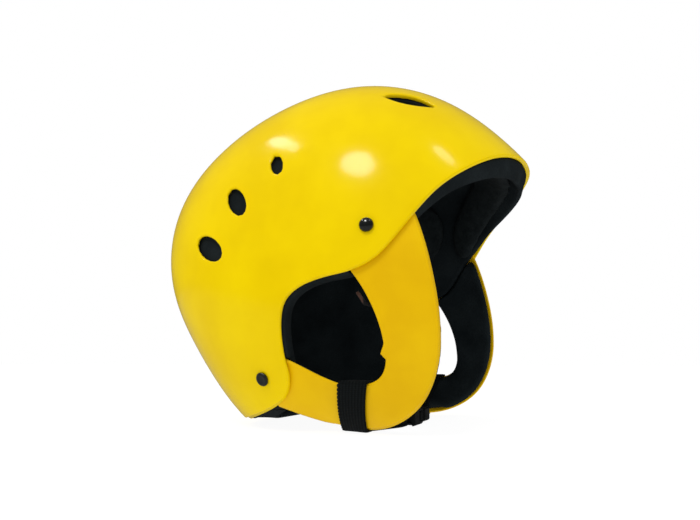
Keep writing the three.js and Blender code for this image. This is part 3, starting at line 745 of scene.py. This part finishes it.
# ---------- shell and liner ----------
LOWER_EDGE = BROW_EDGE + EAR_EDGE
EAR_RIM = shifted(EAR_EDGE, RIM_LIP)
LINER_EDGE = LINER_BROW + EAR_RIM
VENT_FLARE = 0.4  # the side vents' walls open inwards, per mm of depth
SCREW_HOLE = 3.0
PANEL_RIMS = (1.3, 1.0)  # shell and guards, outer and inner edge
LINER_RIMS = (1.6, 2.6)
FOAM_RIMS = (0.8, 2.8)
POCKET_GAP = 0.8  # between a guard's outline and its pocket in the liner
POCKET_WALL = 0.6
whole = grid(2.0, 2.0)


def cut_both_sides(region, holes):
    """Cuts each hole of (side-view point, shape, long axis, flare) on both sides."""
    for _, side in SIDES:
        for at, shape, lean, flare in holes:
            region.cut_hole(at, side, shape, lean, flare)


def crown_vent(step):
    at, length, width, lean = CROWN_VENT
    return [(at, lens(length - 2 * step, width - 2 * step), lean, 0.0)]


VENT_HOLES = [(at, oval(length, width), lean, VENT_FLARE) for at, length, width, lean in SIDE_VENTS]
SCREW_HOLES = [(at, oval(2 * SCREW_HOLE, 2 * SCREW_HOLE, 24), (0, 1), 0.0)
               for at in (FRONT_SCREW, REAR_SCREW)]

shell_region = Region(0.0, covered_region(LOWER_EDGE + SHELL_NAPE))
for holes in (crown_vent(0), VENT_HOLES, SCREW_HOLES):
    cut_both_sides(shell_region, holes)
shell = skin("shell_dome", shell_region, 0.0, SHELL_INNER, PANEL_RIMS, whole)
finish_piece(shell, SHELL_LOOK, "outer_shell")

guard_outline = soft_line(GUARD_LINE, closed=True)
pocket_outline = soft_line(shifted(GUARD_LINE, POCKET_GAP, closed=True), closed=True)
pocket = Region(LINER_OUTER, pocket_outline)
liner_region = Region(LINER_OUTER, covered_region(LIP_BROW + EAR_RIM + LINER_TUCK))
liner_region.inner_outline = covered_region(LINER_EDGE + LINER_TUCK)
cut_both_sides(liner_region, crown_vent(VENT_STEP))


def liner_pockets(params, value):
    """The liner's outside steps in where the guards and the screws' nuts pass behind the shell."""
    inside = pocket.value(params[:, 0], params[:, 1])
    depth = GUARD_INNER + POCKET_WALL - LINER_OUTER
    return -depth * np.clip(inside / POCKET_WALL + 1, 0, 1)


liner = skin("foam_liner_rim", liner_region, LINER_OUTER, LINER_INNER, LINER_RIMS, whole,
             relief=liner_pockets, lines=((pocket, -POCKET_WALL), (pocket, 0.0)))
finish_piece(liner, FOAM_LOOK, "foam_liner")

# ---------- ear guards ----------
FOAM_VOXEL = 1.1


def evened(piece):
    """Rebuilds a soft piece as an even mesh, which closes the folds in its tight corners."""
    apply_modifier(piece, "REMESH", mode="VOXEL", voxel_size=FOAM_VOXEL * MM)
    apply_modifier(piece, "SMOOTH", factor=0.5, iterations=4)
    shade_smooth(piece.data)
    return piece


foam_line = shifted(GUARD_LINE, -FOAM_STEP, closed=True)
beside_ear = slice(EAR_SIDE[0], EAR_SIDE[1] + 1)
foam_line[beside_ear] = shifted(GUARD_LINE, -EAR_FOAM_STEP, closed=True)[beside_ear]
foam_outline = soft_line(foam_line, closed=True)
NIB = [(-36.6, -21.5), (-33.7, -29.3), (-36.9, -31.0), (-41, -30), (-41, -22)]  # right guard only
for side_name, side in SIDES:
    cells = grid(2.0, 1.0, (-150, 90), sorted((8 * side, 88 * side)))
    region = Region(GUARD_OUTER, guard_outline, keep_outside_x=BAR_INNER)
    cut_both_sides(region, SCREW_HOLES)
    if side < 0:
        region.tab = np.array(NIB, float)
    guard = skin(f"guard_{side_name}", region, GUARD_OUTER, GUARD_INNER, PANEL_RIMS, cells)
    finish_piece(guard, GUARD_LOOK, f"ear_guard_{side_name}")
    region = Region(FOAM_OUTER, foam_outline, keep_outside_x=BAR_INNER)
    region.below = covered_region(shifted(LINER_EDGE, FOAM_SEAM) + LINER_NAPE)
    foam = evened(skin(f"guard_foam_{side_name}", region, FOAM_OUTER, FOAM_INNER, FOAM_RIMS, cells))
    finish_piece(foam, FOAM_LOOK, f"ear_guard_foam_{side_name}")


# ---------- comfort pads ----------
PAD_MIDDLE = (PAD_OUTER + PAD_INNER) / 2
PAD_CORNER = 9.0
PAD_CROWN = 2.2  # how far a pad's middle stands proud of its edges
CROWN_REACH = 16.0
PAD_ROOM = 0.8  # left for the swelling
PAD_VOXEL = 2.6
PAD_PRESSURE = 4.0
PAD_SWELL = 1.6  # the most a point may move
CLOTH_FRAMES = 20
HEAD_MIDDLE = EAR + [0, 0, 30]


def crowned(params, value):
    return PAD_CROWN * (1 - np.clip(1 - value / CROWN_REACH, 0, 1) ** 2)


def read_vectors(source, name):
    flat = np.zeros(len(source) * 3)
    source.foreach_get(name, flat)
    return flat.reshape(-1, 3)


def plump(piece):
    """Blows the pad up like a stuffed cover, with its back held on the liner."""
    apply_modifier(piece, "REMESH", mode="VOXEL", voxel_size=PAD_VOXEL * MM)
    mesh = piece.data
    start = read_vectors(mesh.vertices, "co")
    outwards = unit(start - HEAD_MIDDLE * MM)
    facing = np.sum(read_vectors(mesh.vertex_normals, "vector") * outwards, axis=1)
    pins = piece.vertex_groups.new(name="pins")
    pins.add([int(i) for i in np.nonzero(facing > 0.3)[0]], 1.0, "REPLACE")
    cloth = piece.modifiers.new("cloth", "CLOTH")
    settings = cloth.settings
    settings.use_pressure, settings.uniform_pressure_force = True, PAD_PRESSURE
    settings.vertex_group_mass = pins.name
    settings.effector_weights.gravity = 0
    cloth.point_cache.frame_start, cloth.point_cache.frame_end = 1, CLOTH_FRAMES
    for number in range(1, CLOTH_FRAMES + 1):
        scene.frame_set(number)
    swollen = piece.evaluated_get(bpy.context.evaluated_depsgraph_get())
    move = read_vectors(swollen.data.vertices, "co") - start
    size = np.linalg.norm(move, axis=1, keepdims=True)
    move *= np.minimum(1, PAD_SWELL * MM / np.clip(size, 1e-9, None))
    piece.modifiers.remove(cloth)
    mesh.vertices.foreach_set("co", (start + move).ravel())
    scene.frame_set(1)
    apply_modifier(piece, "SUBSURF", levels=1, render_levels=1)
    shade_smooth(piece.data)


def pad(name, node, outline, cells, **trims):
    region = Region(PAD_MIDDLE, outline, **trims)
    piece = skin(name, region, PAD_OUTER, PAD_INNER - PAD_ROOM, LINER_RIMS, cells, swell=crowned)
    plump(piece)
    finish_piece(piece, FABRIC_LOOK, node)


BROW_BAND = [(-120, 99), (-100, 89.5), (-84, 83), (-70, 72.5), (-58, 59), (-49, 45), (-38, 50),
             (-38, 78), (-86, 126), (-120, 125)]
NAPE_BAND = [(100, 46), (150, 50), (150, -30), (92, -34), (80, 0)]
SIDE_PAD_LINE = [(-32, 60), (-30, 86), (0, 96), (38, 84), (46, 50), (30, 26), (-6, 30)]
CROWN_OVAL = oval(88, 104) + [0, 28]  # seen from above
NAPE_HALF_WIDTH = 56
pad("brow_cushion", "brow_pad", soft_line(BROW_BAND, closed=True),
    grid(2.0, 2.0, (30, 75), (-72, 72)))
pad("nape_cushion", "nape_pad", soft_line(NAPE_BAND, closed=True),
    grid(2.0, 2.0, (145, 212), (-44, 44)), within_x=(-NAPE_HALF_WIDTH, NAPE_HALF_WIDTH),
    corner=PAD_CORNER)
pad("crown_cushion", "crown_pad", CROWN_OVAL, grid(2.0, 2.0, (55, 130), (-40, 40)), view=(0, 1))
for side_name, side in SIDES:
    pad(f"side_cushion_{side_name}", f"side_pad_{side_name}", soft_line(SIDE_PAD_LINE, closed=True),
        grid(2.0, 1.5, (40, 150), sorted((30 * side, 84 * side))))

# ---------- screws ----------
SCREW_HEAD, SCREW_SHANK = 4.2, 1.9  # radii
SCREW_TIP = -8.6
HEAD_BASE = 0.4
HEAD_CENTRE = 0.12


def lathe(name, profile, at, side, steps=40):
    """Turns a profile of (radius, height) about the form's normal over the side-view point at."""
    origin, normal = form(*place_on_form(at, side))
    across = unit(np.cross(normal, [0, 0, 1.0]))
    other = np.cross(normal, across)
    angle = np.linspace(0, 2 * math.pi, steps, endpoint=False)
    ring = np.cos(angle)[:, None] * across + np.sin(angle)[:, None] * other
    points = np.vstack([origin + ring * r + normal * h for r, h in profile])
    return new_mesh(name, points + EAR, tube_faces(len(profile), steps))


def shank(chamfer):
    return [(SCREW_SHANK, SCREW_TIP), (SCREW_SHANK, HEAD_BASE),
            (SCREW_HEAD - chamfer, HEAD_BASE), (SCREW_HEAD, HEAD_BASE + 0.2)]


def dome_head(height):
    edge = HEAD_BASE + 0.5
    arc = [math.radians(a) for a in range(0, 90, 9)]
    return (shank(0.25)
            + [(SCREW_HEAD * math.cos(a), edge + (height - 0.5) * math.sin(a)) for a in arc]
            + [(HEAD_CENTRE, HEAD_BASE + height)])


def flat_head(height):
    """A low head with a soft edge and a shallow dish."""
    top = HEAD_BASE + height - 0.5
    dish = ((0.3, 0.35), (0.9, 0), (1.5, 0.02), (2.1, 0.2))
    return (shank(0.2) + [(SCREW_HEAD, HEAD_BASE + 0.7)]
            + [(SCREW_HEAD - inwards, top - drop) for inwards, drop in dish]
            + [(1.1, top - 0.3), (HEAD_CENTRE, top - 0.3)])


for side_name, side in SIDES:
    for end, at, profile, look in (("front", FRONT_SCREW, dome_head(3.0), DOME_SCREW_LOOK),
                                   ("rear", REAR_SCREW, flat_head(2.0), FLAT_SCREW_LOOK)):
        screw = lathe(f"{end}_screw_head_{side_name}", profile, at, side)
        finish_piece(screw, look, f"{end}_screw_{side_name}")
        for part, part_look in (("washer", RUBBER_LOOK), ("post_nut", FLAT_SCREW_LOOK)):
            paint(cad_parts[f"{end}_{part}_{side_name}"], part_look)

# ---------- webbing ----------
WEBBING_WIDTH = 17.5
WEBBING_THICKNESS = 1.6
LOOP_CLEARANCE = 0.5
SELVEDGE = 0.72  # the webbing's thickness at its edges, as a share
SELVEDGE_BULGE = 0.22
BAR_TOP = -45.2
LOOP_CENTRE = -16.5
LOOP_LEAN = -0.26
LOOP_COLUMNS = 13
LOOP_RIB = 2.7
TABLE = -EAR[2]


def lengths_along(line):
    """How far each point of a line is from its start."""
    return np.concatenate([[0], np.cumsum(np.linalg.norm(np.diff(line, axis=0), axis=1))])


def thick_sheet(name, middle, closed=False):
    """Webbing round a grid of points (along, across, xyz) in mm, with soft selvedges.

    UVs are metres along and across it."""
    along, across = middle.shape[:2]
    if closed:
        run = np.roll(middle, -1, 0) - np.roll(middle, 1, 0)
    else:
        run = np.gradient(middle, axis=0)
    normal = unit(np.cross(run, np.gradient(middle, axis=1)))
    half = np.full(across, WEBBING_THICKNESS / 2)
    half[[0, -1]] *= SELVEDGE
    edge = WEBBING_THICKNESS * SELVEDGE_BULGE
    left = middle[:, :1] + unit(middle[:, :1] - middle[:, 1:2]) * edge
    right = middle[:, -1:] + unit(middle[:, -1:] - middle[:, -2:-1]) * edge
    top = middle + normal * half[None, :, None]
    bottom = (middle - normal * half[None, :, None])[:, ::-1]
    rows = np.concatenate([left, top, right, bottom], axis=1)
    ring = rows.shape[1]
    travelled = lengths_along(middle[:, across // 2])
    width = np.linalg.norm(middle[0, -1] - middle[0, 0])
    v_line = np.concatenate([[0], np.linspace(0, width, across), [width],
                             np.linspace(width, 0, across)])
    mesh = raw_mesh(name, rows.reshape(-1, 3) + EAR, tube_faces(along, ring, closed))
    uv = mesh.uv_layers.new(name="weave")
    total = travelled[-1] + np.linalg.norm(middle[0, across // 2] - middle[-1, across // 2])
    for polygon in mesh.polygons:
        rings, columns = np.divmod(list(polygon.vertices), ring)
        wraps = closed and np.ptp(rings) > 1
        turns = np.ptp(columns) == ring - 1 and len(columns) == 4
        for c, r, k in zip(polygon.loop_indices, rings, columns):
            u = total if wraps and r == 0 else travelled[r]
            v = 0.0 if turns else v_line[k]
            uv.data[c].uv = (u * MM, v * MM)
    return close_mesh(name, mesh, open_mesh(mesh, weld=False))


def x_on_form(y, z, inset):
    """|X| where the form at that inset passes over the side-view point."""
    y_try, z_try = y, z
    for _ in range(6):
        point, _ = form(*place_on_form((y_try, z_try), 1), inset)
        y_try, z_try = y_try + y - point[1], z_try + z - point[2]
    return float(point[0])


def rounded_path(points, closed, rounds=2):
    """Cuts the corners of a path of points."""
    points = np.array(points, float)
    for _ in range(rounds):
        following = np.roll(points, -1, 0)
        pairs = np.stack([points * 0.75 + following * 0.25, points * 0.25 + following * 0.75], 1)
        if closed:
            points = pairs.reshape(-1, points.shape[1])
        else:
            points = np.vstack([points[:1], pairs[:-1].reshape(-1, points.shape[1]), points[-1:]])
    return points


def strap_loop(side_name, side):
    """Webbing round the guard's lower bar; its rear selvedge is gathered into small ribs."""
    half = WEBBING_THICKNESS / 2
    outer_inset = GUARD_OUTER - LOOP_CLEARANCE - half
    inner_inset = FOAM_INNER + LOOP_CLEARANCE + half
    inner_limit = BAR_INNER - LOOP_CLEARANCE - half
    top = BAR_TOP + LOOP_CLEARANCE + half
    bottom = TABLE + half
    sheet = []
    levels = np.linspace(top - 0.2, bottom + 0.2, 22)
    corner = 1.6
    for across in np.linspace(-WEBBING_WIDTH / 2, WEBBING_WIDTH / 2, LOOP_COLUMNS):
        def y_at(z):
            return LOOP_CENTRE + LOOP_LEAN * (z - BAR_TOP) + across
        outside = [(x_on_form(y_at(z), z, outer_inset), z) for z in levels]
        inside = [(max(inner_limit, x_on_form(y_at(z), z, inner_inset)), z) for z in levels[::-1]]
        low = [(x, bottom) for x in np.linspace(outside[-1][0] - corner, inside[0][0] + corner, 9)]
        high = [(x, top) for x in np.linspace(inside[-1][0] + corner, outside[0][0] - corner, 9)]
        path = rounded_path(outside + low + inside + high, True)
        sheet.append([(side * x, y_at(z), z) for x, z in path])
    middle = np.array(sheet).transpose(1, 0, 2)
    length = lengths_along(middle[:, LOOP_COLUMNS // 2])
    pinch = np.abs(np.sin(math.pi * length / LOOP_RIB)) ** 0.6
    middle[:, -1, 1] += 0.9 * pinch - 0.7
    middle[:, -2, 1] += 0.4 * pinch - 0.3
    return thick_sheet(f"guard_loop_{side_name}", middle, closed=True)


def finish_webbing(piece, node, body="helmet"):
    return finish_piece(piece, WEBBING_LOOK, node, body)


for side_name, side in SIDES:
    finish_webbing(strap_loop(side_name, side), f"strap_loop_{side_name}")

# ---------- chin strap runs ----------
BUCKLE_X, BUCKLE_Y = -7.0, -21.0
BUCKLE_Z = TABLE + 5.5
SOCKET_BAR = -18.3
PLUG_BAR = 22.3
STRAP_STRAIGHT = 26.0
RIBBON_COLUMNS = 9
LOOP_FOOT = LOOP_CENTRE + LOOP_LEAN * (TABLE - BAR_TOP)
TABLE_LINE = TABLE + WEBBING_THICKNESS / 2 + 0.1
RAISED_LINE = TABLE_LINE + 2.3
RUN_END = 63.6
STRAP_ANCHOR = 66.0


def run_slant(side):
    """How far the webbing drifts in Y per mm of X between the buckle and a guard."""
    return (LOOP_FOOT - BUCKLE_Y) / (STRAP_ANCHOR - side * BUCKLE_X - STRAP_STRAIGHT)


def ribbon(name, path, side):
    """Webbing along a front-view path of (x from the buckle, z).

    Past the straight part it slants towards its guard."""
    path = rounded_path(path, False, 3)
    past = np.clip(np.abs(path[:, 0]) - STRAP_STRAIGHT, 0, None)
    across = np.linspace(-WEBBING_WIDTH / 2, WEBBING_WIDTH / 2, RIBBON_COLUMNS)
    middle = np.zeros((len(path), RIBBON_COLUMNS, 3))
    middle[..., 0] = BUCKLE_X + path[:, :1]
    middle[..., 1] = (BUCKLE_Y + run_slant(side) * past)[:, None] + across
    middle[..., 2] = path[:, 1:]
    return thick_sheet(name, middle)


def bar_wrap(bar, side):
    """The webbing's way round an end bar, from the underside through the slot to the outside."""
    reach, rise = 2.1 + WEBBING_THICKNESS / 2, 2.9 + WEBBING_THICKNESS / 2
    turns = ((reach, -rise), (1 - reach, -rise), (-reach, 1 - rise), (-reach, rise - 1),
             (1 - reach, rise), (reach - 1, rise), (reach, rise - 1), (reach + 0.3, -0.2))
    return [(bar + side * x, BUCKLE_Z + z) for x, z in turns]


right_path = [*((x, TABLE_LINE) for x in (-RUN_END - BUCKLE_X, -50, -40, -31)),
              (-26, TABLE_LINE + 0.5), *bar_wrap(SOCKET_BAR, -1),
              (-26, TABLE_LINE + 2.4), (-31, TABLE_LINE + 1.75), (-38, TABLE_LINE + 1.7)]
right_run = finish_webbing(ribbon("strap_to_socket", right_path, -1), "strap_run_right", None)

left_path = [(RUN_END - BUCKLE_X, TABLE_LINE), (57, TABLE_LINE), (52, RAISED_LINE - 0.4),
             (46, RAISED_LINE), (38, RAISED_LINE), (31, RAISED_LINE - 0.4), *bar_wrap(PLUG_BAR, 1)]
finish_webbing(ribbon("strap_to_plug", left_path, 1), "strap_run_left")
tail_line = RAISED_LINE + WEBBING_THICKNESS + FIT_GAP
tail_path = [(27.4, tail_line + 0.6), (32, tail_line), (42, tail_line), (51, tail_line),
             (57, tail_line + 1.0)]
finish_webbing(ribbon("strap_free_end", tail_path, 1), "strap_tail")

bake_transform(right_run)


# ---------- buckle and keeper ----------
BEVEL_ABOVE = math.radians(30)  # edges that turn more than this are rounded
SHADE_ABOVE = math.radians(38)


def softened(name, node, width):
    """A copy of a CAD node with its edges rounded."""
    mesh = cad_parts[node].data.copy()
    mesh.name = name
    work = open_mesh(mesh)
    bmesh.ops.dissolve_limit(work, angle_limit=math.radians(3), verts=work.verts, edges=work.edges)
    edges = [e for e in work.edges if e.calc_face_angle(0) > BEVEL_ABOVE]
    bmesh.ops.bevel(work, geom=edges, offset=width * MM, segments=2, profile=0.6, affect="EDGES",
                    clamp_overlap=True)
    piece = close_mesh(name, mesh, work)
    mesh.set_sharp_from_angle(angle=SHADE_ABOVE)
    return piece


for name, node, width, body in (("buckle_body", "buckle_socket", 0.45, "buckle_socket"),
                                ("buckle_insert", "buckle_plug", 0.4, "helmet"),
                                ("release_arm_rear", "buckle_arm_rear", 0.35, "buckle_arm_rear"),
                                ("release_arm_front", "buckle_arm_front", 0.35, "buckle_arm_front"),
                                ("webbing_keeper", "strap_keeper", 0.3, "strap_keeper")):
    finish_piece(softened(name, node, width), BUCKLE_LOOK, node, body)

# ---------- size label ----------
finish_piece(softened("sewn_label", "size_label", 0.2), LABEL_LOOK, "size_label")

# ---------- camera, floor and light ----------
scene.view_settings.view_transform = "Standard"

CAMERA_AT = (-0.465, -0.1719, 0.0421)
CAMERA_LOOKS = (0.9286, 0.3436, 0.1405)
camera_data = bpy.data.cameras.new("camera")
camera_data.sensor_width = 36.0
camera_data.lens = 36.0
camera_data.clip_start = 0.01
camera = add_object("camera", camera_data)
camera.location = CAMERA_AT
camera.rotation_euler = Vector(CAMERA_LOOKS).to_track_quat("-Z", "Y").to_euler()
scene.camera = camera


def floor_look():
    look = Shade("studio_floor", 0.9, specular=0.05)
    look.colours(look.noise(0.3, 2.0), (0.1, 0.1, 0.1), (0.12, 0.12, 0.12))
    look.shader.inputs["Emission Color"].default_value = (1, 1, 1, 1)
    path = look.node("ShaderNodeLightPath")
    glow = look.spread(path.outputs["Is Glossy Ray"], 0.94, 0.14)
    look.link(glow, look.shader.inputs["Emission Strength"])
    return look


FLOOR_HALF, FLOOR_DROP = 4000, -0.05
corners = [(x * FLOOR_HALF, y * FLOOR_HALF, FLOOR_DROP)
           for x, y in ((-1, -1), (1, -1), (1, 1), (-1, 1))]
floor = new_mesh("studio_floor", corners, [(0, 1, 2, 3)])
paint(floor, floor_look())

world = bpy.data.worlds.new("studio")
scene.world = world
world.use_nodes = True


def studio_backdrop(look, behind, dark=0.08, bright=0.4, above=0.7, in_gloss=0.15):
    """White to the eye; as light, bright in the direction behind and a dim room opposite."""
    sky = look.tree.nodes["Background"]
    sky.inputs["Color"].default_value = (1, 1, 1, 1)
    path = look.node("ShaderNodeLightPath")

    def facing(direction, low, high):
        dot = look.node("ShaderNodeVectorMath", {1: direction}, operation="DOT_PRODUCT")
        look.link(look.coordinates.outputs["Generated"], dot.inputs[0])
        return look.spread(dot.outputs["Value"], low, high, -0.6, 0.9,
                           interpolation_type="SMOOTHSTEP")

    light = look.maths("ADD", facing(behind, dark, bright), facing((0, 0, 1), 0, above))
    light = look.maths("MULTIPLY", light, look.spread(path.outputs["Is Glossy Ray"], 1, in_gloss))
    look.link(look.maths("MAXIMUM", light, path.outputs["Is Camera Ray"]), sky.inputs["Strength"])


studio_backdrop(Nodes(world.node_tree), CAMERA_LOOKS)
AIM = Vector((0, 0, 0.12))  # about the helmet's middle


def soft_light(name, towards, distance, size, power):
    """An area light seen from the aim point in the direction towards, facing it."""
    data = bpy.data.lights.new(name, "AREA")
    data.shape = "ELLIPSE"
    data.size, data.size_y = size
    data.energy = power
    lamp = add_object(name, data)
    way = Vector(towards).normalized()
    lamp.location = AIM + way * distance
    lamp.rotation_euler = way.to_track_quat("Z", "Y").to_euler()


soft_light("key_softbox", (-0.64, 0.1, 0.76), 1.6, (0.38, 0.36), 7)
soft_light("rear_strip", (-0.2, 0.55, 0.8), 1.6, (0.6, 0.11), 2.2)
soft_light("front_top", (-0.25, -0.43, 0.87), 1.8, (0.22, 0.22), 1.3)
